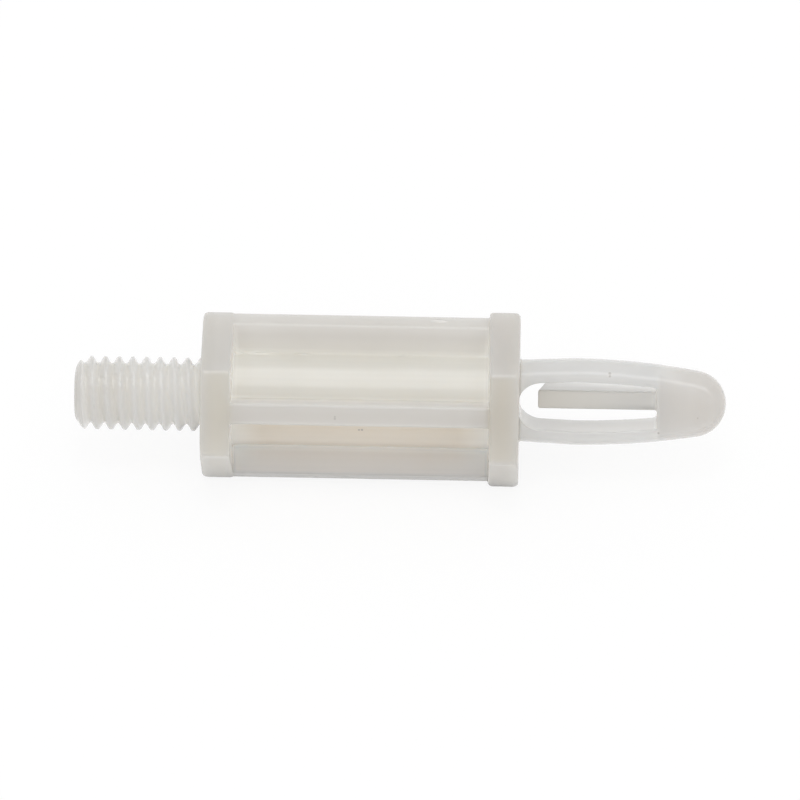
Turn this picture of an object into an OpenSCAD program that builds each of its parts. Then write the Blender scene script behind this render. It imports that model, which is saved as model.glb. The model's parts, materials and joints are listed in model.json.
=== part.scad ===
// Snap-in circuit board support: a threaded stud, a ribbed hexagonal spacer and a snap head with a locking
// tongue, moulded in one piece. It lies on its side along X. The base flange's seat face is at X = 0,
// the stud points to -X and the snap head to +X.

/* [Stud] */
// Length of the stud beyond the base flange
stud_length = 6.5; // [4:0.5:12]
// Outer diameter of the thread
stud_d = 3.75; // [3.4:0.05:5]
// Axial distance from one thread crest to the next
thread_pitch = 0.7; // [0.6:0.05:1]
// Height of the thread from root to crest
thread_depth = 0.34; // [0.2:0.02:0.5]
// Axial width of the thread's crest land
thread_crest_w = 0.14; // [0.08:0.02:0.3]
// Axial width of the land at the thread's root
thread_root_w = 0.1; // [0.06:0.02:0.2]
// Length of the lead-in taper at the stud's end
stud_lead = 0.42; // [0.2:0.02:1]
// Height by which the lead-in taper falls below the thread's crests
stud_lead_drop = 0.52; // [0.2:0.02:0.8]
// Length of the plain collar between the thread and the base flange
stud_collar = 0.1; // [0.05:0.05:0.5]

/* [Hexagonal flanges] */
// Distance between the two seat faces
board_spacing = 16.2; // [8:0.1:40]
// Width of the base flange across its flats
base_af = 7.6; // [7.5:0.1:10]
// Thickness of the base flange
base_t = 1.6; // [1:0.1:3]
// Width of the board flange across its flats
board_af = 8; // [7.5:0.1:10]
// Thickness of the board flange
board_t = 1.6; // [1:0.1:3]
// Radius that rounds the flanges' corners at the seat faces
corner_r = 0.4; // [0.1:0.05:0.5]

/* [Ribbed body] */
// Width of the ribbed body across its flats
body_af = 7.5; // [6.8:0.1:7.6]
// Diameter of the round core between the ribs
core_d = 5.05; // [4:0.05:6]
// Thickness of the two ribs that run to corners of the hexagon
corner_rib_t = 1.4; // [0.8:0.1:2]
// Thickness of the two ribs that run to flats of the hexagon
flat_rib_t = 1.1; // [0.8:0.1:2]
// Draft of the pockets' end walls in degrees
pocket_draft = 1.5; // [0:0.5:3]

/* [Snap head] */
// Length of the snap head beyond the board flange
head_length = 10.5; // [9:0.1:14]
// Width of the head where it leaves the board flange
neck_w = 4.16; // [3.6:0.02:4.4]
// Width of the head at its widest
head_w = 4.42; // [4.2:0.02:5]
// Distance of the widest place from the board flange
head_widest_at = 2.76; // [2:0.02:4]
// Thickness of the head between its two flats
head_t = 2.55; // [1.8:0.05:3.2]
// Radius of the rounded nose
nose_r = 1.7; // [1.2:0.05:1.9]
// Thickness of the two arms beside the window
arm_t = 0.89; // [0.6:0.01:1.1]
// Length of the solid tip beyond the window
tip_length = 3.52; // [3:0.02:5]
// Distance of the centre of the window's round end from the board flange
window_round_at = 1.1; // [0.9:0.05:1.5]

/* [Locking tongue] */
// Width of the tongue
tongue_w = 0.95; // [0.6:0.05:1.2]
// Depth of the tongue's front face behind the head's middle plane
tongue_recess = 0.25; // [0:0.05:0.5]
// Gap between the board flange and the tongue's free end, at the front
tongue_gap = 0.89; // [0.5:0.01:2]
// Reach of the barb behind the head's middle plane
barb_reach = 2.6; // [1.8:0.1:3]
// Axial setback of the free end's slanted face from its front edge to the barb's tip
barb_setback = 0.5; // [0:0.05:1]

/* [Hidden] */
$fn = 96;

// Natural nylon, a milky warm white
nylon = [0.88, 0.87, 0.83];
// Roll about X that puts two flats of the hexagons level
rest_roll = 150;
// Depth to which a joined piece is sunk into its neighbour to make one solid
sink = 0.3;
// Straight steps that draw each curve of the head's outline
curve_steps = 16;
// Room by which a cutting shape passes the surface it cuts
pass = 1;

stud_r = stud_d / 2;
root_r = stud_r - thread_depth;
flank_w = (thread_pitch - thread_crest_w - thread_root_w) / 2;
thread_turns = ceil(stud_length / thread_pitch) + 1;
pocket_depth = max(base_af, board_af);
pocket_end = board_spacing - board_t;
window_length = head_length - tip_length;

// The widest place runs to the nose along one large arc that meets the nose arc with no corner
nose_at = head_length - nose_r;
side_run = nose_at - head_widest_at;
head_r = head_w / 2;
side_r = (side_run * side_run + head_r * head_r - nose_r * nose_r) / (2 * (head_r - nose_r));
nose_turn = asin(side_run / (side_r - nose_r));

// Half width of the head at a distance from the board flange, ahead of the nose arc
function half_width(z) = z < head_widest_at
    ? neck_w / 2 + (head_r - neck_w / 2) * z / head_widest_at
    : head_r - side_r + sqrt(side_r * side_r - pow(z - head_widest_at, 2));

// Outline of one thread crest, from its root on one side to the root on the other
function crest(at) = [
    [root_r, at - thread_crest_w / 2 - flank_w],
    [stud_r, at - thread_crest_w / 2],
    [stud_r, at + thread_crest_w / 2],
    [root_r, at + thread_crest_w / 2 + flank_w]
];

// A hexagonal prism with corners on +X and -X
module hex_prism(across_flats, height) {
    cylinder(d = across_flats / cos(30), h = height, $fn = 6);
}

// A flange whose corners are rounded at its face on Z = 0
module flange(across_flats, thickness) {
    corner_circle = across_flats / cos(30) / 2;
    intersection() {
        hex_prism(across_flats, thickness);
        rotate_extrude()
            union() {
                square([corner_circle - corner_r, thickness]);
                translate([0, corner_r])
                    square([corner_circle, thickness - corner_r]);
                translate([corner_circle - corner_r, corner_r])
                    circle(corner_r);
            }
    }
}

// Half section of the stud, with a crest at every pitch
module stud_section() {
    intersection() {
        polygon(concat(
            [[0, -thread_turns * thread_pitch - pass]],
            [for (turn = [-thread_turns : 0]) each crest(turn * thread_pitch)],
            [[0, pass]]
        ));
        polygon([
            [0, -stud_length],
            [stud_r - stud_lead_drop, -stud_length],
            [stud_r, stud_lead - stud_length],
            [stud_r, sink],
            [0, sink]
        ]);
    }
}

// The threaded stud
module stud() {
    rotate_extrude()
        stud_section();
    translate([0, 0, -stud_collar])
        cylinder(r = stud_r, h = stud_collar + sink);
}

// One of the four pockets between the ribs, open along +Y
module pocket() {
    lean = tan(pocket_draft) * pocket_depth;
    floor_y = corner_rib_t / 2;
    difference() {
        translate([flat_rib_t / 2 + pocket_depth, 0, 0])
            rotate([0, -90, 0])
                linear_extrude(pocket_depth)
                    polygon([
                        [base_t, floor_y],
                        [pocket_end, floor_y],
                        [pocket_end + lean, floor_y + pocket_depth],
                        [base_t - lean, floor_y + pocket_depth]
                    ]);
        cylinder(d = core_d, h = board_spacing);
    }
}

// The two flanges and the ribbed body between them
module spacer() {
    difference() {
        union() {
            flange(base_af, base_t);
            translate([0, 0, base_t - sink])
                hex_prism(body_af, pocket_end - base_t + 2 * sink);
            translate([0, 0, board_spacing])
                mirror([0, 0, 1])
                    flange(board_af, board_t);
        }
        for (side_x = [0, 1], side_y = [0, 1])
            mirror([side_x, 0, 0])
                mirror([0, side_y, 0])
                    pocket();
    }
}

// The bullet outline of the head as half a section
module head_section() {
    polygon(concat(
        [[0, -sink], [neck_w / 2, -sink], [neck_w / 2, 0]],
        [for (i = [0 : curve_steps])
            let (turn = nose_turn * i / curve_steps)
            [head_r - side_r + side_r * cos(turn), head_widest_at + side_r * sin(turn)]],
        [for (i = [1 : curve_steps])
            let (turn = nose_turn + (90 - nose_turn) * i / curve_steps)
            [nose_r * cos(turn), nose_at + nose_r * sin(turn)]]
    ));
}

// Outline of the window, which leaves arms of one thickness beside it
module window_outline() {
    round_r = half_width(window_round_at) - arm_t;
    stations = concat(
        [window_round_at],
        [for (i = [0 : curve_steps])
            head_widest_at + (window_length - head_widest_at) * i / curve_steps]
    );
    edge = [for (z = stations) [half_width(z) - arm_t, z]];
    union() {
        polygon(concat(edge, [for (i = [len(edge) - 1 : -1 : 0]) [-edge[i][0], edge[i][1]]]));
        translate([0, window_round_at])
            circle(round_r);
    }
}

// The tongue that springs back from the tip, with a barb whose ramp starts behind the tip
module tongue() {
    rotate([0, -90, 0])
        linear_extrude(tongue_w, center = true)
            polygon([
                [window_length + sink, -tongue_recess],
                [tongue_gap, -tongue_recess],
                [tongue_gap + barb_setback, -barb_reach],
                [nose_at, (sink - head_t) / 2]
            ]);
}

// The snap head: a flattened bullet with a window and the locking tongue in it
module snap_head() {
    difference() {
        intersection() {
            rotate_extrude()
                head_section();
            translate([-head_w / 2, -head_t / 2, -sink])
                cube([head_w, head_t, head_length + sink]);
        }
        rotate([90, 0, 0])
            linear_extrude(head_t + 2 * pass, center = true)
                intersection() {
                    window_outline();
                    translate([-head_w / 2, 0])
                        square([head_w, head_length]);
                }
    }
    tongue();
}

module pcb_support() {
    color(nylon)
        rotate([rest_roll, 0, 0])
            rotate([0, 90, 0]) {
                stud();
                spacer();
                translate([0, 0, board_spacing])
                    snap_head();
            }
}

pcb_support();
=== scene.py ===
"""Looks of a snap-in circuit board support moulded in natural nylon.

The part is one moulded piece, so one mesh stands for its one solid. The surface is the zero level of a
distance field, which gives each edge and corner the small radius of a moulding. Lengths are in
millimetres until the mesh is made in metres.
"""

import json
import math

import bpy
import numpy as np
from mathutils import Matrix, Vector


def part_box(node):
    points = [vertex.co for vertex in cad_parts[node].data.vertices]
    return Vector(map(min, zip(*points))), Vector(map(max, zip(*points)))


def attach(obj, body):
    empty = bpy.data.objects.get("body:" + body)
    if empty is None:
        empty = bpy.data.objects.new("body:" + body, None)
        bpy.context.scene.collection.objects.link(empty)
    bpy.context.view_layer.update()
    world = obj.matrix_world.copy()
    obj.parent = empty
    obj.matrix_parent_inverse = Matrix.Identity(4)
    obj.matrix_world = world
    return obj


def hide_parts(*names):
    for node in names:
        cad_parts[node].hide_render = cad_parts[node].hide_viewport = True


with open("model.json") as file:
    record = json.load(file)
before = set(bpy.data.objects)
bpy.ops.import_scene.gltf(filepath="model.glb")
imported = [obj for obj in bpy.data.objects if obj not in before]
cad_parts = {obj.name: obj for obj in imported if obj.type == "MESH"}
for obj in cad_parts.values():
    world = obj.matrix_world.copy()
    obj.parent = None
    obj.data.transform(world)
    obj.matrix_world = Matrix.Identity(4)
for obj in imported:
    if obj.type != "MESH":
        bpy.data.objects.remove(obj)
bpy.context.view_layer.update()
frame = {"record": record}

# Sizes taken from the frame
NODE = "pcb_support"
MM = 0.001
node_low, node_high = (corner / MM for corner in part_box(NODE))
mounts = {mount["name"]: mount for mount in frame["record"]["mounts"]}
STUD_END = node_low.x
HEAD_END = node_high.x
BOARD_FACE = mounts["board_snap"]["pos_m"][0] / MM
STUD_R = mounts["stud"]["dims"]["r_mm"]
BOARD_APOTHEM = (node_high.z - node_low.z) / 2

# Stud
THREAD_PITCH = 0.7
THREAD_DEPTH = 0.34
THREAD_CREST_SHARE = 0.16
THREAD_ROOT_SHARE = 0.12
THREAD_PHASE = -5.65
STUD_LEAD = 0.42
STUD_LEAD_DROP = 0.52

# Flanges and ribbed body
BASE_APOTHEM = 3.8
FLANGE_T = 1.6
CORNER_R = 0.4
BODY_APOTHEM = 3.75
CORE_R = 2.525
CORNER_RIB_T = 1.4
FLAT_RIB_T = 1.1
POCKET_DRAFT = math.tan(math.radians(1.5))

# Rounding of the board flange's lower corner on the side of the ribs
LOWER_CORNER_R = 0.36

# Snap head and locking tongue
NECK_HALF = 2.08
HEAD_HALF = 2.21
HEAD_WIDEST_AT = 2.76
HEAD_T = 2.55
NOSE_R = 1.7
ARM_T = 0.89
TIP_LENGTH = 3.52
WINDOW_ROUND_AT = 1.1
TONGUE_W = 0.95
TONGUE_RECESS = 0.25
TONGUE_GAP = 0.89
BARB_REACH = 2.6
BARB_SETBACK = 0.5

# Depth behind the head's middle plane at which the barb's ramp ends inside the tip
RAMP_END_DEPTH = 1.125

# Widths over which edges are rounded and inner corners filled
EDGE = 0.18
CRISP_EDGE = 0.1
SOFT_EDGE = 0.2
FILLET = 0.12

# Flash left on the upper rib and beside it: where it starts and ends, its two cross places and its radius
FLASH = [
    (1.72, 1.96, 2.42, 0.78, 0.08),
    (2.65, 3.45, 2.42, 0.78, 0.07),
    (4.78, 5.26, 2.42, 0.78, 0.06),
    (10.14, 10.44, 2.42, 0.78, 0.08),
    (11.74, 12.16, 4.18, 0.26, 0.06),
]

# Roll that puts two flats of the hexagons level
ROLL = math.radians(150)

# Half the angle between neighbouring corners of a hexagon, seen from its centre
HEX_HALF_ANGLE = math.radians(30)

# The head's side is one large arc from its widest place to the nose arc
nose_at = HEAD_END - BOARD_FACE - NOSE_R
side_run = nose_at - HEAD_WIDEST_AT
side_r = (side_run**2 + HEAD_HALF**2 - NOSE_R**2) / (2 * (HEAD_HALF - NOSE_R))
nose_from = nose_at + NOSE_R * side_run / (side_r - NOSE_R)
window_end = HEAD_END - BOARD_FACE - TIP_LENGTH


def smooth_max(a, b, width):
    """The larger of two fields, which rounds a solid's outer edge over the width."""
    near = np.maximum(width - np.abs(a - b), 0) / width
    return np.maximum(a, b) + near * near * width / 4


def smooth_min(a, b, width):
    """The smaller of two fields, which fills an inner corner over the width."""
    return -smooth_max(-a, -b, width)


def corner_circle(apothem):
    """Radius of the circle through a hexagon's corners."""
    return apothem / math.cos(HEX_HALF_ANGLE)


def hexagon(m, n, apothem):
    """A hexagon with corners along m and flats across n."""
    slant_m = m * math.cos(HEX_HALF_ANGLE)
    slant_n = n * math.sin(HEX_HALF_ANGLE)
    sides = smooth_max(np.abs(slant_m + slant_n), np.abs(slant_m - slant_n), CRISP_EDGE)
    return smooth_max(sides, np.abs(n), CRISP_EDGE) - apothem


def rounded_rim(radius, depth, rim_r, corner_r):
    """A disc of radius rim_r whose rim is rounded where the depth behind its face is small."""
    out = radius - (rim_r - corner_r)
    up = corner_r - depth
    outside = np.hypot(np.maximum(out, 0), np.maximum(up, 0))
    return outside + np.minimum(np.maximum(out, up), 0) - corner_r


def flange(depth, m, n, apothem):
    """A flange whose face is at depth 0, with a drafted back face."""
    slope = POCKET_DRAFT * np.maximum(np.abs(n) - CORNER_RIB_T / 2, 0)
    rim = rounded_rim(np.hypot(m, n), depth, corner_circle(apothem), CORNER_R)
    solid = smooth_max(hexagon(m, n, apothem), depth - FLANGE_T + slope, EDGE)
    solid = smooth_max(solid, -depth, EDGE / 2)
    return smooth_max(solid, rim, EDGE / 2)


def flash(x, m, n):
    """Small ridges of flash on the upper rib and where it meets the core."""
    field = np.inf
    for start, end, at_m, at_n, radius in FLASH:
        beyond = np.maximum(np.maximum(start - x, x - end), 0)
        away = np.hypot(m - at_m, n - at_n)
        field = np.minimum(field, np.hypot(beyond, away) - radius)
    return field


def spacer(x, m, n):
    """Both flanges and the ribbed body between them."""
    ribs = smooth_min(np.abs(n) - CORNER_RIB_T / 2, np.abs(m) - FLAT_RIB_T / 2, FILLET)
    section = smooth_min(np.hypot(m, n) - CORE_R, ribs, FILLET)
    section = smooth_max(section, hexagon(m, n, BODY_APOTHEM), CRISP_EDGE)
    middle = BOARD_FACE / 2
    body = np.maximum(section, np.abs(x - middle) - (middle - FLANGE_T / 2))
    body = smooth_min(body, flash(x, m, n), FILLET / 2)
    base = flange(x, m, n, BASE_APOTHEM)
    board = flange(BOARD_FACE - x, m, n, BOARD_APOTHEM)
    behind = x - BOARD_FACE + FLANGE_T
    lower = rounded_rim(np.hypot(m, n), behind, corner_circle(BOARD_APOTHEM), LOWER_CORNER_R)
    board = np.where(m < 0, smooth_max(board, lower, EDGE / 2), board)
    return smooth_min(np.minimum(base, board), body, FILLET / 2)


def stud(x, m, n):
    """The stud with its right-hand thread and tapered end."""
    radius = np.hypot(m, n)
    turn = np.arctan2(n, m) / (2 * math.pi)
    along = (x - THREAD_PHASE) / THREAD_PITCH - turn
    crest = np.abs(2 * (along - np.floor(along)) - 1)
    slope = (crest - THREAD_ROOT_SHARE) / (1 - THREAD_ROOT_SHARE - THREAD_CREST_SHARE)
    # The flank is halfway between a straight line and a smooth step
    height = np.clip(slope, 0, 1)
    height = (height + height * height * (3 - 2 * height)) / 2
    flank = math.atan2(THREAD_DEPTH, THREAD_PITCH / 2)
    thread = (radius - STUD_R + THREAD_DEPTH * (1 - height)) * math.cos(flank)
    lead = math.atan2(STUD_LEAD_DROP, STUD_LEAD)
    taper = (radius - STUD_R + STUD_LEAD_DROP) * math.cos(lead) - (x - STUD_END) * math.sin(lead)
    end = smooth_max(taper, STUD_END - x, SOFT_EDGE)
    solid = smooth_max(thread, end, EDGE)
    return np.maximum(solid, x - FLANGE_T / 2)


def half_width(z):
    """Half width of the head at distances from the board flange, short of the nose."""
    neck = NECK_HALF + (HEAD_HALF - NECK_HALF) * z / HEAD_WIDEST_AT
    run = np.clip(z - HEAD_WIDEST_AT, 0, nose_from - HEAD_WIDEST_AT)
    side = HEAD_HALF - side_r + np.sqrt(side_r**2 - run**2)
    return np.where(z < HEAD_WIDEST_AT, neck, side)


def window(z, m):
    """The outline of the window, which leaves arms of one thickness beside it."""
    width = half_width(np.maximum(z, WINDOW_ROUND_AT)) - ARM_T
    long_part = smooth_max(np.abs(m) - width, z - window_end, SOFT_EDGE)
    round_part = np.hypot(z - WINDOW_ROUND_AT, m) - width
    return np.where(z < WINDOW_ROUND_AT, round_part, long_part)


def tongue(z, m, n):
    """The tongue that springs back from the tip, with a barb whose ramp starts behind the tip."""
    end_slope = math.atan2(BARB_SETBACK, BARB_REACH - TONGUE_RECESS)
    ramp_run = nose_at - TONGUE_GAP - BARB_SETBACK
    ramp_slope = math.atan2(BARB_REACH - RAMP_END_DEPTH, ramp_run)
    front = n + TONGUE_RECESS
    free_end = (TONGUE_GAP - z) * math.cos(end_slope) - front * math.sin(end_slope)
    back = (-n - RAMP_END_DEPTH) * math.cos(ramp_slope) - (nose_at - z) * math.sin(ramp_slope)
    solid = smooth_max(front, np.abs(m) - TONGUE_W / 2, CRISP_EDGE)
    solid = smooth_max(solid, smooth_max(free_end, back, EDGE), CRISP_EDGE)
    return np.maximum(solid, z - nose_at)


def head_outline(z, m, n):
    """The flattened bullet that the head is cut from."""
    radius = np.hypot(m, n)
    neck_slope = math.atan2(HEAD_HALF - NECK_HALF, HEAD_WIDEST_AT)
    neck = (radius - half_width(z)) * math.cos(neck_slope)
    side = np.hypot(z - HEAD_WIDEST_AT, radius + side_r - HEAD_HALF) - side_r
    nose = np.hypot(z - nose_at, radius) - NOSE_R
    bullet = np.where(z < HEAD_WIDEST_AT, neck, np.where(z < nose_from, side, nose))
    return smooth_max(bullet, np.abs(n) - HEAD_T / 2, EDGE)


def head(x, m, n):
    """The snap head, with a window and the locking tongue in it."""
    z = x - BOARD_FACE
    solid = smooth_max(head_outline(z, m, n), -window(z, m), EDGE / 2)
    solid = np.maximum(solid, -z - FLANGE_T / 2)
    return smooth_min(solid, tongue(z, m, n), FILLET)


def support(x, m, n):
    """The whole part."""
    solid = smooth_min(spacer(x, m, n), stud(x, m, n), FILLET)
    return smooth_min(solid, head(x, m, n), FILLET)


# Grid that the surface is found on: room around the part, steps, and reach of the fine steps at the faces
GRID_MARGIN = 0.15
FINE_STEP = 0.05
MEDIUM_STEP = 0.1
COARSE_STEP = 0.5
FINE_REACH = 0.3
SEAT_FINE_REACH = 0.5

# How points are moved on to the surface: rounds, longest step, reach of the gradient and least divisors
SETTLE_ROUNDS = 4
SETTLE_LONGEST = 0.05
SLOPE_REACH = 0.01
LEAST_SLOPE_SQUARED = 0.2
LEAST_LENGTH = 1e-9


def grid_lines(stops, steps):
    """Grid lines between the stops, each stretch with its own step."""
    lines = [np.array([stops[0]])]
    for start, stop, step in zip(stops, stops[1:], steps):
        count = max(1, round((stop - start) / step))
        lines.append(np.linspace(start, stop, count + 1)[1:])
    return np.concatenate(lines)


def surface_cells(axes, field):
    """One point in each grid cell that the surface passes through, and each cell's number."""
    shape = [len(axis) - 1 for axis in axes]
    total = np.zeros([*shape, 3])
    count = np.zeros(shape)
    ends = (slice(0, -1), slice(1, None))
    for direction in range(3):
        others = [d for d in range(3) if d != direction]
        for first, second in ((0, 0), (0, 1), (1, 0), (1, 1)):
            low = [ends[0]] * 3
            low[others[0]] = ends[first]
            low[others[1]] = ends[second]
            high = list(low)
            high[direction] = ends[1]
            a = field[tuple(low)]
            b = field[tuple(high)]
            crossed = (a < 0) != (b < 0)
            part_way = np.where(crossed, a / np.where(crossed, a - b, 1), 0)
            for d in range(3):
                line = [-1 if k == d else 1 for k in range(3)]
                place = axes[d][low[d]].reshape(line)
                if d == direction:
                    stop = axes[d][high[d]].reshape(line)
                    place = place + part_way * (stop - place)
                total[..., d] += np.where(crossed, place, 0)
            count += crossed
    used = count > 0
    number = np.full(shape, -1)
    number[used] = np.arange(used.sum())
    return total[used] / count[used][:, None], number


def surface_quads(field, number):
    """A quad around each grid line stretch that the surface crosses, facing outwards."""
    quads = []
    for direction in range(3):
        u, v = [(1, 2), (2, 0), (0, 1)][direction]
        low = [slice(1, -1)] * 3
        high = [slice(1, -1)] * 3
        low[direction] = slice(0, -1)
        high[direction] = slice(1, None)
        a = field[tuple(low)] < 0
        b = field[tuple(high)] < 0
        corners = []
        for step_u, step_v in ((0, 0), (1, 0), (1, 1), (0, 1)):
            pick = [slice(None)] * 3
            pick[u] = slice(step_u, number.shape[u] - 1 + step_u)
            pick[v] = slice(step_v, number.shape[v] - 1 + step_v)
            corners.append(number[tuple(pick)])
        ring = np.stack(corners, axis=-1)
        quads.append(ring[a & ~b])
        quads.append(ring[b & ~a][:, ::-1])
    return np.concatenate(quads)


def field_slope(points):
    """The distance field's gradient at the points."""
    slope = np.empty_like(points)
    for d in range(3):
        ahead = points.copy()
        behind = points.copy()
        ahead[:, d] += SLOPE_REACH
        behind[:, d] -= SLOPE_REACH
        slope[:, d] = (support(*ahead.T) - support(*behind.T)) / (2 * SLOPE_REACH)
    return slope


def lengths(rows):
    """The length of each row, never quite zero."""
    return np.maximum(np.linalg.norm(rows, axis=1), LEAST_LENGTH)


def settle(points):
    """Moves the points on to the surface and returns them with their outward normals."""
    for _ in range(SETTLE_ROUNDS):
        slope = field_slope(points)
        steep = np.maximum((slope**2).sum(1), LEAST_SLOPE_SQUARED)
        step = slope * (support(*points.T) / steep)[:, None]
        points = points - step * np.minimum(1, SETTLE_LONGEST / lengths(step))[:, None]
    slope = field_slope(points)
    return points, slope / lengths(slope)[:, None]


# Shares of the pockets' depth from which and, in the lower ones, up to which the painted light in the
# pockets sets in
RECESS_FROM = 0.4
LOWER_RECESS_TO = 0.1

# Shares of painted light and shade: the pockets' on the upper rib, thick nylon's on the flanges, tip's on
# its sides
RIB_RECESS_SHARE = 0.7
FLANGE_SHARE = 0.75
TIP_SIDE_SHARE = 0.7

# Height below which the core's front has its own painted shade
CORE_FRONT_TO = 1.7

# Places across the head: the tongue's painted light lies behind the first, the tip's painted shade begins at
# the second
TONGUE_FRONT_TO = HEAD_T / 4
TIP_FRONT_FROM = HEAD_T / 3

# Widths over which the painted light and shade change
FLANGE_EDGE_FADE = 1.6
SEAT_FADE = 0.8
CORE_FRONT_FADE = 0.9
POCKET_END_FADE = 3.0
CORNER_FADE = 0.3
LOWER_CORNER_FADE = 1.5
SEAM_FADE = 0.35
STUD_END_FADE = 0.7
NECK_FADE = 3.0
TIP_FADE = 0.6
NOSE_FADE = 1.5


def share(value):
    """Keeps a share between 0 and 1."""
    return np.clip(value, 0, 1)


def spacer_measures(x, m, n):
    """Shares of painted light and shade on the flanges and the ribbed body."""
    middle = BOARD_FACE / 2
    seat_depth = np.minimum(x, BOARD_FACE - x)
    wall = np.abs(np.abs(x - middle) - (middle - FLANGE_T))
    between = share((middle - FLANGE_T - np.abs(x - middle)) / EDGE)
    spacer_part = share(1 + seat_depth / EDGE)
    rim = share(1 + hexagon(m, n, BASE_APOTHEM) / EDGE) * spacer_part * (1 - between)
    flat_edge = BOARD_APOTHEM * math.tan(HEX_HALF_ANGLE)
    upper_rib = share((m - CORE_R) / EDGE) * between
    rib_recess = 1 - (1 - RIB_RECESS_SHARE) * upper_rib
    lower = share(0.5 - m / FLAT_RIB_T)
    lower_rib = share(1 - (m + CORE_R) / FILLET)
    below = -hexagon(m, n, BODY_APOTHEM) / (BODY_APOTHEM - CORE_R)
    start = RECESS_FROM * (1 - lower)
    end = 1 + (LOWER_RECESS_TO - 1) * lower
    corner_fade = CORNER_FADE + (LOWER_CORNER_FADE - CORNER_FADE) * lower
    seam = np.hypot(m + CORE_R - FILLET, np.abs(n) - CORNER_RIB_T / 2 - FILLET)
    return {
        # Painted shade: thick nylon on the flanges and the upper rib is darker than thin parts
        "thick": share(spacer_part * FLANGE_SHARE + upper_rib * (1 - FLANGE_SHARE)),
        # Painted shading on the flanges' front and back flats
        "flange_flat": rim * share((flat_edge - np.abs(m)) / EDGE),
        # Painted shade on the flanges' lower faces
        "flange_low": rim * share((-m - flat_edge) / EDGE),
        # Painted shade in a band either side of the flanges' upper edge
        "flange_edge": rim * share(1 - np.abs(m - flat_edge) / FLANGE_EDGE_FADE),
        # Painted shade on the board flange's rim
        "board": rim * share((x - middle) / EDGE),
        # Painted shade along the flanges' rims next to their outer faces
        "seat": rim * share(seat_depth / FILLET) * share(1 - seat_depth / SEAT_FADE),
        # Painted shade on the front rib's tip face
        "front_rib": share(1 + (n - BODY_APOTHEM) / EDGE) * between,
        # Painted light in the pockets, lifting their shade and standing in for light glowing through the
        # thick core
        "recess": share((below - start) / (end - start)) * between * rib_recess,
        # Painted shade on the core's front below its highlight
        "core_front": share((CORE_FRONT_TO - m) / CORE_FRONT_FADE) * share(n / EDGE) * (1 - lower),
        # Painted shade: the lower pockets under the front rib are dimmer and warmer
        "lower": lower,
        # Painted warm light lifting the shade on the lower rib under the front rib
        "lower_rib": lower_rib,
        # Painted light at the pockets' ends beside the flanges, lifting their shade
        "pocket_end": share(1 - wall / POCKET_END_FADE) * between * (1 - lower * (1 - lower_rib)),
        # Painted light in the pockets' inner corners, lifting their shade
        "corner": share(1 - wall / corner_fade) * share(below),
        # Painted light in the corner between the lower core and the lower rib
        "seam": share(1 - seam / SEAM_FADE) * between,
    }


def stud_measures(x, m, n):
    """Shares of painted light and shade on the stud."""
    thread = np.minimum(STUD_R - np.hypot(m, n), x - STUD_END) / THREAD_DEPTH
    return {
        # Painted light in the thread's grooves, lifting their shade
        "thread": np.where(x < 0, share(thread), 0),
        # Painted light at the stud's root by the flange and painted shade towards and at its free end
        "stud": share(-x / EDGE),
        "stud_along": share(x / STUD_END),
        "stud_end": share(1 - (x - STUD_END) / STUD_END_FADE),
    }


def head_measures(x, m, n):
    """Shares of painted light and shade on the snap head and its tongue."""
    z = x - BOARD_FACE
    in_window = share((TONGUE_W / 2 + EDGE - np.abs(m)) / EDGE) * share((window_end - z) / EDGE)
    front = share((TONGUE_FRONT_TO - n) / EDGE)
    behind = share((-n - TONGUE_RECESS) / EDGE - 0.5)
    on_tongue = np.where(z > 0, in_window * front * (1 - behind / 2), 0)
    face = share((TONGUE_W / 2 + EDGE / 2 - np.abs(m)) / EDGE) * (1 - behind)
    tip_front = share((np.abs(n) - TIP_FRONT_FROM) / TIP_FADE)
    tip_side = share((z - window_end) / NOSE_FADE) * TIP_SIDE_SHARE
    return {
        # Painted light on the neck next to the board flange, lifting its shade
        "neck": share(z / FILLET) * share(1 - z / NECK_FADE),
        # Painted light on the tongue, lifting the shade of the window around it
        "tongue": on_tongue,
        "free_end": on_tongue * face * share((window_end - z) / (window_end - TONGUE_GAP)),
        # Painted shade on the thick tip, for less light coming through it than through the arms
        "tip": share((z - window_end) / EDGE) * np.maximum(tip_front, tip_side),
        # Painted shade on the head's nose
        "nose": share((z - nose_at + EDGE) / NOSE_FADE),
    }


def measures(points):
    """Shares from 0 to 1 that the material's painted light and shade are blended by."""
    place = points.T
    return {**spacer_measures(*place), **stud_measures(*place), **head_measures(*place)}


def to_frame(rows):
    """Turns rows of axial, corner-rib and flat-rib coordinates to the frame's X, Y and Z."""
    x, m, n = rows.T
    y = m * math.sin(ROLL) + n * math.cos(ROLL)
    z = -m * math.cos(ROLL) + n * math.sin(ROLL)
    return np.column_stack([x, y, z])


def add_object(name, data):
    """A new object in the scene."""
    made = bpy.data.objects.new(name, data)
    bpy.context.scene.collection.objects.link(made)
    return made


def grid_axes():
    """Grid lines along x, m and n, finest where the flanges' faces and the thread are."""
    stops = [
        STUD_END - GRID_MARGIN,
        FINE_REACH,
        FLANGE_T - FINE_REACH,
        FLANGE_T + FINE_REACH,
        BOARD_FACE - FLANGE_T - FINE_REACH,
        BOARD_FACE - FLANGE_T + FINE_REACH,
        BOARD_FACE - SEAT_FINE_REACH,
        BOARD_FACE + FINE_REACH,
        HEAD_END + GRID_MARGIN,
    ]
    steps = [
        FINE_STEP,
        MEDIUM_STEP,
        FINE_STEP,
        COARSE_STEP,
        FINE_STEP,
        MEDIUM_STEP,
        FINE_STEP,
        MEDIUM_STEP,
    ]
    reach = corner_circle(BOARD_APOTHEM) + GRID_MARGIN
    across = grid_lines([-reach, reach], [MEDIUM_STEP])
    return [grid_lines(stops, steps), across, across]


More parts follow.
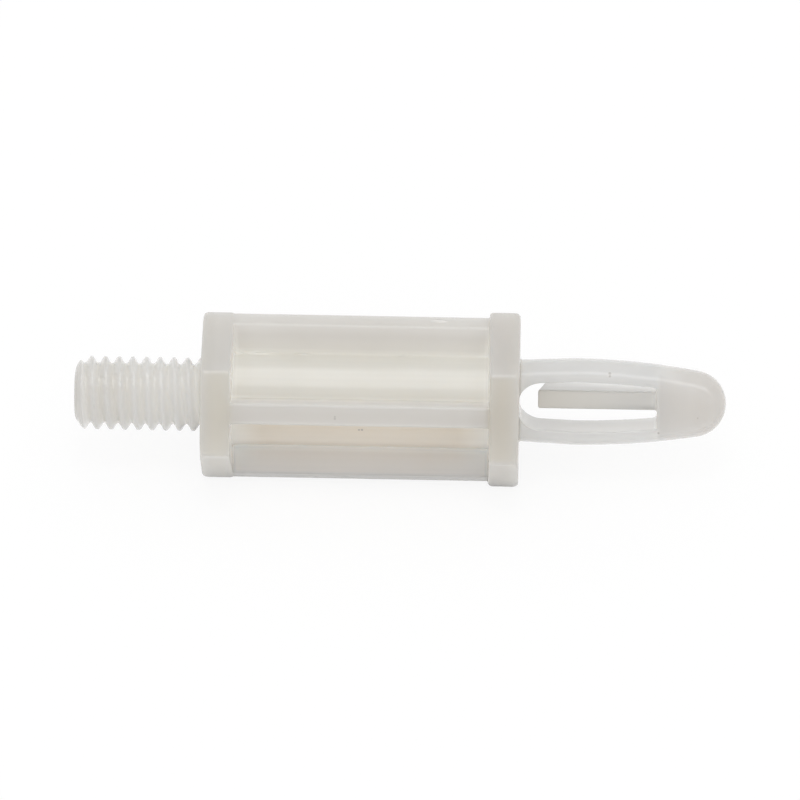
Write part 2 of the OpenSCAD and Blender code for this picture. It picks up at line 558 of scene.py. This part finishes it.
def build_support(material):
    """The moulded part as one closed mesh."""
    axes = grid_axes()
    field = support(*np.meshgrid(*axes, indexing="ij", sparse=True))
    points, number = surface_cells(axes, field)
    points, normals = settle(points)
    quads = surface_quads(field, number)
    mesh = bpy.data.meshes.new("pcb_support_moulding")
    mesh.from_pydata((to_frame(points) * MM).tolist(), [], quads.tolist())
    mesh.update()
    mesh.polygons.foreach_set("use_smooth", [True] * len(mesh.polygons))
    mesh.normals_split_custom_set_from_vertices(to_frame(normals).tolist())
    for name, values in measures(points).items():
        attribute = mesh.attributes.new(name, "FLOAT", "POINT")
        attribute.data.foreach_set("value", values.astype(np.float32))
    mesh.materials.append(material)
    piece = add_object("pcb_support_moulding", mesh)
    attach(piece, "root")
    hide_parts(NODE)


# Painted light and shade in the nylon's colour, for light passing through it, each blended by a measure kept
# on the mesh
# Painted light and shade: thin nylon is lighter and thick nylon darker, standing in for light passing
# through thin parts
THICK_SHADE_COLOUR = (0.522, 0.505, 0.477, 1)
THIN_COLOUR = (0.672, 0.660, 0.634, 1)
# Painted shading: the flanges' front and back flats get their own colour for how the light falls on them
FLANGE_FLAT_SHADING_COLOUR = (0.540, 0.515, 0.460, 1)
# Painted shade: the flanges' downward faces are darker
FLANGE_LOW_SHADE_COLOUR = (0.488, 0.470, 0.432, 1)
# Painted shade along the flanges' rims beside their outer faces
SEAT_RIM_SHADE_COLOUR = (0.470, 0.450, 0.415, 1)
# Painted light: the pockets are lighter and creamier, for light glowing through the core and lifting their
# shade
RECESS_LIGHT_COLOUR = (0.720, 0.703, 0.652, 1)
# Painted shade on the core's front below its highlight
CORE_FRONT_SHADE_COLOUR = (0.698, 0.681, 0.634, 1)
# Painted light and shade: the lower pockets, in the front rib's shade, are dimmer and warmer than the upper
# ones
LOWER_POCKET_SHADING_COLOUR = (0.715, 0.655, 0.575, 1)
# Painted light and shade: the lower rib, shaded by the front rib, is lighter and warm
LOWER_RIB_SHADING_COLOUR = (0.820, 0.720, 0.635, 1)
# Painted light: the pockets' inner corners are lighter, and warm below the front rib
CORNER_COLOUR = (0.825, 0.800, 0.750, 1)
LOWER_RIB_CORNER_LIGHT_COLOUR = (0.980, 0.900, 0.815, 1)
# Painted light in the corner between the lower core and lower rib
SEAM_LIGHT_COLOUR = (0.970, 0.900, 0.820, 1)
# Painted light in the thread's grooves
THREAD_LIGHT_COLOUR = (0.735, 0.718, 0.680, 1)
# Painted light on the head's neck by the board flange
NECK_LIGHT_COLOUR = (0.800, 0.785, 0.750, 1)
# Painted shade on the head's thick tip
TIP_SHADE_COLOUR = (0.500, 0.484, 0.470, 1)
# Painted light on the tongue recessed in the window
TONGUE_LIGHT_COLOUR = (0.950, 0.910, 0.835, 1)
SPECK_COLOUR = (0.42, 0.40, 0.38, 1)

# Painted light and shade: tones that the colour under them is multiplied by, below 1 for shade, above 1 for
# light
# Painted shade beside the flanges' upper edge
FLANGE_EDGE_SHADE = (0.94, 0.94, 0.94, 1)
# Painted shade on the board flange
BOARD_SHADE = (0.93, 0.92, 0.92, 1)
# Painted shade on the front rib
FRONT_RIB_SHADE = (0.94, 0.93, 0.92, 1)
# Painted light at the pockets' ends
POCKET_END_LIGHT = (1.09, 1.09, 1.09, 1)
# Painted light at the stud's root and painted shade towards its end and on its tip
STUD_ROOT_LIGHT = (1.18, 1.18, 1.18, 1)
STUD_END_SHADE = (0.83, 0.83, 0.83, 1)
STUD_TIP_SHADE = (0.78, 0.78, 0.78, 1)
# Painted shade on the nose
NOSE_SHADE = (0.88, 0.87, 0.86, 1)

# Dark specks in the moulding: place and radius in millimetres
SPECKS = [
    ((20.745, -0.110, 2.150), 0.08),
    ((20.750, -0.250, 2.110), 0.07),
    ((23.280, -1.740, -0.445), 0.06),
    ((25.260, -1.320, 0.265), 0.04),
    ((6.865, -3.318, 1.753), 0.06),
    ((6.865, -3.270, 1.840), 0.05),
    ((8.060, -2.518, 0.180), 0.05),
    ((8.215, -2.518, 0.185), 0.06),
    ((1.560, -1.653, 3.315), 0.08),
]

# Shares of a speck's radius between which its dark colour fades out
SPECK_CORE = 0.6
SPECK_RIM = 1.3

# Nylon's refraction, and how far light scatters in it: ratios of red, green and blue, and the reach
NYLON_IOR = 1.53
SCATTER_RATIOS = (1.0, 0.93, 0.85)
SCATTER_REACH = 8

# Share of scattered light over the part and at the tongue's free end
SCATTER_SHARE = 1.0
FREE_END_SCATTER_SHARE = 0.15

# Noise: features a millimetre along each axis, detail, and the middle range of its values
CLOUD_SCALE = (0.15, 0.3, 0.3)
STREAK_SCALE = (0.04, 3.0, 3.0)
NOISE_DETAIL = 1
NOISE_LOW = 0.3
NOISE_HIGH = 0.7

# Lowest and highest tone of the clouds and streaks, and the roughness that follows the streaks
CLOUD_TONES = (0.975, 1.02)
STREAK_TONES = (0.985, 1.015)
ROUGHNESS = (0.10, 0.18)

# Strength and height in millimetres of the lines drawn in the pockets
LINE_STRENGTH = 0.4
LINE_HEIGHT = 0.002

# The Mix node's sockets for colours
MIX_FACTOR = 0
MIX_FIRST = 6
MIX_SECOND = 7
MIX_RESULT = 2


def nylon_material():
    """Natural nylon: milky, translucent and softly glossy, with painted light and shade in its colour."""
    material = bpy.data.materials.new("natural_nylon")
    material.use_nodes = True
    tree = material.node_tree
    link = tree.links.new
    shader = tree.nodes["Principled BSDF"]
    shader.inputs["IOR"].default_value = NYLON_IOR
    shader.inputs["Subsurface Radius"].default_value = SCATTER_RATIOS
    shader.inputs["Subsurface Scale"].default_value = SCATTER_REACH * MM
    place = tree.nodes.new("ShaderNodeTexCoord").outputs["Object"]

    def measure(name):
        """A measure kept on the mesh."""
        node = tree.nodes.new("ShaderNodeAttribute")
        node.attribute_name = name
        return node.outputs["Fac"]

    def noise(scale):
        """Noise over the part, with a scale in features a millimetre along each axis."""
        mapping = tree.nodes.new("ShaderNodeMapping")
        mapping.inputs["Scale"].default_value = [value / MM for value in scale]
        node = tree.nodes.new("ShaderNodeTexNoise")
        node.inputs["Scale"].default_value = 1
        node.inputs["Detail"].default_value = NOISE_DETAIL
        link(place, mapping.inputs["Vector"])
        link(mapping.outputs["Vector"], node.inputs["Vector"])
        return node.outputs["Fac"]

    def ramp(value, low, high):
        """Maps a noise's middle range to low and high."""
        span = tree.nodes.new("ShaderNodeMapRange")
        span.inputs["From Min"].default_value = NOISE_LOW
        span.inputs["From Max"].default_value = NOISE_HIGH
        span.inputs["To Min"].default_value = low
        span.inputs["To Max"].default_value = high
        link(value, span.inputs["Value"])
        return span.outputs["Result"]

    def blend(factor, first, second, mode="MIX"):
        """Mixes two colours, each a fixed colour or another node's."""
        node = tree.nodes.new("ShaderNodeMix")
        node.data_type = "RGBA"
        node.blend_type = mode
        for socket, value in ((MIX_FACTOR, factor), (MIX_FIRST, first), (MIX_SECOND, second)):
            if isinstance(value, bpy.types.NodeSocket):
                link(value, node.inputs[socket])
            else:
                node.inputs[socket].default_value = value
        return node.outputs[MIX_RESULT]

    def clear_of_speck(spot, radius):
        """0 in a speck and 1 outside it."""
        gap = tree.nodes.new("ShaderNodeVectorMath")
        gap.operation = "DISTANCE"
        gap.inputs[1].default_value = [value * MM for value in spot]
        link(place, gap.inputs[0])
        near = tree.nodes.new("ShaderNodeMapRange")
        near.inputs["From Min"].default_value = radius * SPECK_CORE * MM
        near.inputs["From Max"].default_value = radius * SPECK_RIM * MM
        link(gap.outputs["Value"], near.inputs["Value"])
        return near.outputs["Result"]

    # Painted shade on thick nylon over the lighter colour of thin parts
    colour = blend(measure("thick"), THIN_COLOUR, THICK_SHADE_COLOUR)
    # Painted shading on the flanges' flats
    colour = blend(measure("flange_flat"), colour, FLANGE_FLAT_SHADING_COLOUR)
    # Painted shade on the flanges' lower faces
    colour = blend(measure("flange_low"), colour, FLANGE_LOW_SHADE_COLOUR)
    # Painted shade beside the flanges' upper edge
    colour = blend(measure("flange_edge"), colour, FLANGE_EDGE_SHADE, "MULTIPLY")
    # Painted shade on the board flange
    colour = blend(measure("board"), colour, BOARD_SHADE, "MULTIPLY")
    # Painted shade on the front rib
    colour = blend(measure("front_rib"), colour, FRONT_RIB_SHADE, "MULTIPLY")
    # Painted shade along the flanges' outer rims
    colour = blend(measure("seat"), colour, SEAT_RIM_SHADE_COLOUR)
    # Painted light and shade on the lower rib
    lower = blend(measure("lower_rib"), LOWER_POCKET_SHADING_COLOUR, LOWER_RIB_SHADING_COLOUR)
    # Painted shade on the core's front
    recess = blend(measure("core_front"), RECESS_LIGHT_COLOUR, CORE_FRONT_SHADE_COLOUR)
    # Painted shade in the lower pockets
    recess = blend(measure("lower"), recess, lower)
    # Painted light in the pockets
    colour = blend(measure("recess"), colour, recess)
    # Painted light in the pockets' inner corners
    corner = blend(measure("lower_rib"), CORNER_COLOUR, LOWER_RIB_CORNER_LIGHT_COLOUR)
    colour = blend(measure("corner"), colour, corner)
    # Painted light in the lower corner seam
    colour = blend(measure("seam"), colour, SEAM_LIGHT_COLOUR)
    # Painted light in the thread's grooves
    colour = blend(measure("thread"), colour, THREAD_LIGHT_COLOUR)
    # Painted light at the stud's root and painted shade towards its end
    stud_light_and_shade = blend(measure("stud_along"), STUD_ROOT_LIGHT, STUD_END_SHADE)
    colour = blend(measure("stud"), colour, stud_light_and_shade, "MULTIPLY")
    colour = blend(measure("stud_end"), colour, STUD_TIP_SHADE, "MULTIPLY")
    # Painted light at the pockets' ends
    colour = blend(measure("pocket_end"), colour, POCKET_END_LIGHT, "MULTIPLY")
    # Painted light on the neck
    colour = blend(measure("neck"), colour, NECK_LIGHT_COLOUR)
    # Painted shade on the tip
    colour = blend(measure("tip"), colour, TIP_SHADE_COLOUR)
    # Painted shade on the nose
    colour = blend(measure("nose"), colour, NOSE_SHADE, "MULTIPLY")
    # Painted light on the tongue
    colour = blend(measure("tongue"), colour, TONGUE_LIGHT_COLOUR)
    colour = blend(1, colour, ramp(noise(CLOUD_SCALE), *CLOUD_TONES), "MULTIPLY")
    streaks = noise(STREAK_SCALE)
    colour = blend(measure("recess"), colour, ramp(streaks, *STREAK_TONES), "MULTIPLY")
    for spot, radius in SPECKS:
        colour = blend(clear_of_speck(spot, radius), SPECK_COLOUR, colour)
    link(colour, shader.inputs["Base Color"])

    scatter = tree.nodes.new("ShaderNodeMapRange")
    scatter.inputs["To Min"].default_value = SCATTER_SHARE
    scatter.inputs["To Max"].default_value = FREE_END_SCATTER_SHARE
    link(measure("free_end"), scatter.inputs["Value"])
    link(scatter.outputs["Result"], shader.inputs["Subsurface Weight"])
    link(ramp(streaks, *ROUGHNESS), shader.inputs["Roughness"])

    drawn = tree.nodes.new("ShaderNodeMath")
    drawn.operation = "MULTIPLY"
    link(streaks, drawn.inputs[0])
    link(measure("recess"), drawn.inputs[1])
    lines = tree.nodes.new("ShaderNodeBump")
    lines.inputs["Strength"].default_value = LINE_STRENGTH
    lines.inputs["Distance"].default_value = LINE_HEIGHT * MM
    link(drawn.outputs[0], lines.inputs["Height"])
    link(lines.outputs["Normal"], shader.inputs["Normal"])
    return material


# Floor: half its width in metres, its colour, the glow that the camera sees and the glow's share
FLOOR_HALF = 1.5
FLOOR_COLOUR = (0.93, 0.93, 0.93, 1)
FLOOR_GLOW = 1.03
FLOOR_GLOW_SHARE = 0.85

# Lamps: sizes and heights in metres and powers in watts, with the overhead lamp a little to the front
OVERHEAD_SIZE = 0.1
OVERHEAD_POWER = 0.09
OVERHEAD_Y = -0.037
OVERHEAD_HEIGHT = 0.35
SOFTBOX_LENGTH = 0.7
SOFTBOX_WIDTH = 0.30
SOFTBOX_POWER = 1.1
SOFTBOX_HEIGHT = 0.34

# Even white light from all round
SURROUND_COLOUR = (1, 1, 1, 1)
SURROUND_STRENGTH = 0.85


def floor_material():
    """A pale matt floor that shows as white to the camera and keeps the shadow."""
    material = bpy.data.materials.new("floor_white")
    material.use_nodes = True
    tree = material.node_tree
    tree.nodes.clear()
    link = tree.links.new
    out = tree.nodes.new("ShaderNodeOutputMaterial")
    mix = tree.nodes.new("ShaderNodeMixShader")
    matt = tree.nodes.new("ShaderNodeBsdfDiffuse")
    matt.inputs["Color"].default_value = FLOOR_COLOUR
    glow = tree.nodes.new("ShaderNodeEmission")
    glow.inputs["Strength"].default_value = FLOOR_GLOW
    path = tree.nodes.new("ShaderNodeLightPath")
    seen = tree.nodes.new("ShaderNodeMath")
    seen.operation = "MAXIMUM"
    seen_through = tree.nodes.new("ShaderNodeMath")
    seen_through.operation = "MAXIMUM"
    lift = tree.nodes.new("ShaderNodeMath")
    lift.operation = "MULTIPLY"
    lift.inputs[1].default_value = FLOOR_GLOW_SHARE
    link(path.outputs["Is Camera Ray"], seen.inputs[0])
    link(path.outputs["Is Glossy Ray"], seen.inputs[1])
    link(seen.outputs[0], seen_through.inputs[0])
    link(path.outputs["Is Transmission Ray"], seen_through.inputs[1])
    link(seen_through.outputs[0], lift.inputs[0])
    link(lift.outputs[0], mix.inputs["Fac"])
    link(matt.outputs[0], mix.inputs[1])
    link(glow.outputs[0], mix.inputs[2])
    link(mix.outputs[0], out.inputs["Surface"])
    return material


def area_lamp(name, shape, power, place):
    """An area lamp that shines straight down."""
    light = bpy.data.lights.new(name, "AREA")
    light.shape = shape
    light.energy = power
    lamp = add_object(name, light)
    lamp.location = place
    return lamp


def build_stage():
    """The floor that the part lies on, the two lamps above it and the even surround."""
    level = node_low.z * MM
    corners = [(-1, -1), (1, -1), (1, 1), (-1, 1)]
    mesh = bpy.data.meshes.new("floor")
    mesh.from_pydata([(x * FLOOR_HALF, y * FLOOR_HALF, level) for x, y in corners], [], [(0, 1, 2, 3)])
    mesh.materials.append(floor_material())
    floor = add_object("floor", mesh)

    # The overhead lamp models the form, and the softbox is only seen in reflections
    lamp_x = BOARD_FACE / 2 * MM
    overhead = area_lamp("overhead", "DISK", OVERHEAD_POWER, (lamp_x, OVERHEAD_Y, OVERHEAD_HEIGHT))
    overhead.data.size = OVERHEAD_SIZE
    overhead.visible_glossy = False
    softbox = area_lamp("softbox", "RECTANGLE", SOFTBOX_POWER, (lamp_x, 0, SOFTBOX_HEIGHT))
    softbox.data.size = SOFTBOX_LENGTH
    softbox.data.size_y = SOFTBOX_WIDTH
    softbox.visible_diffuse = False

    world = bpy.data.worlds.new("surround")
    world.use_nodes = True
    background = world.node_tree.nodes["Background"]
    background.inputs["Color"].default_value = SURROUND_COLOUR
    background.inputs["Strength"].default_value = SURROUND_STRENGTH
    bpy.context.scene.world = world


# The photograph's view: 800 pixels square at 19.6 pixels a millimetre, from a long way off
PICTURE_PIXELS = 800
PIXELS_PER_MM = 19.6
VIEW_AZIMUTH = math.radians(1.485)
VIEW_ELEVATION = math.radians(45)
VIEW_DISTANCE = 0.47
VIEW_WIDTH = PICTURE_PIXELS / PIXELS_PER_MM * MM
SEAT_PIXEL = (202.5, 394.5)
CENTRE_PIXEL = PICTURE_PIXELS / 2
SENSOR = 36
CLIP_NEAR = 0.01
CLIP_FAR = 10


def build_camera():
    """The camera, placed so that the base seat's centre falls on its pixel."""
    level = math.cos(VIEW_ELEVATION)
    right = Vector((math.cos(VIEW_AZIMUTH), math.sin(VIEW_AZIMUTH), 0))
    back = Vector(
        (math.sin(VIEW_AZIMUTH) * level, -math.cos(VIEW_AZIMUTH) * level, math.sin(VIEW_ELEVATION))
    )
    up = back.cross(right)
    pixel = VIEW_WIDTH / PICTURE_PIXELS
    target = (CENTRE_PIXEL - SEAT_PIXEL[0]) * pixel * right
    target -= (CENTRE_PIXEL - SEAT_PIXEL[1]) * pixel * up
    data = bpy.data.cameras.new("camera")
    data.sensor_width = SENSOR
    data.lens = SENSOR * VIEW_DISTANCE / VIEW_WIDTH
    data.clip_start = CLIP_NEAR
    data.clip_end = CLIP_FAR
    camera = add_object("camera", data)
    camera.location = target + back * VIEW_DISTANCE
    camera.rotation_mode = "QUATERNION"
    camera.rotation_quaternion = (-back).to_track_quat("-Z", "Y")
    bpy.context.scene.camera = camera


build_support(nylon_material())
build_stage()
build_camera()
bpy.context.scene.view_settings.view_transform = "Standard"
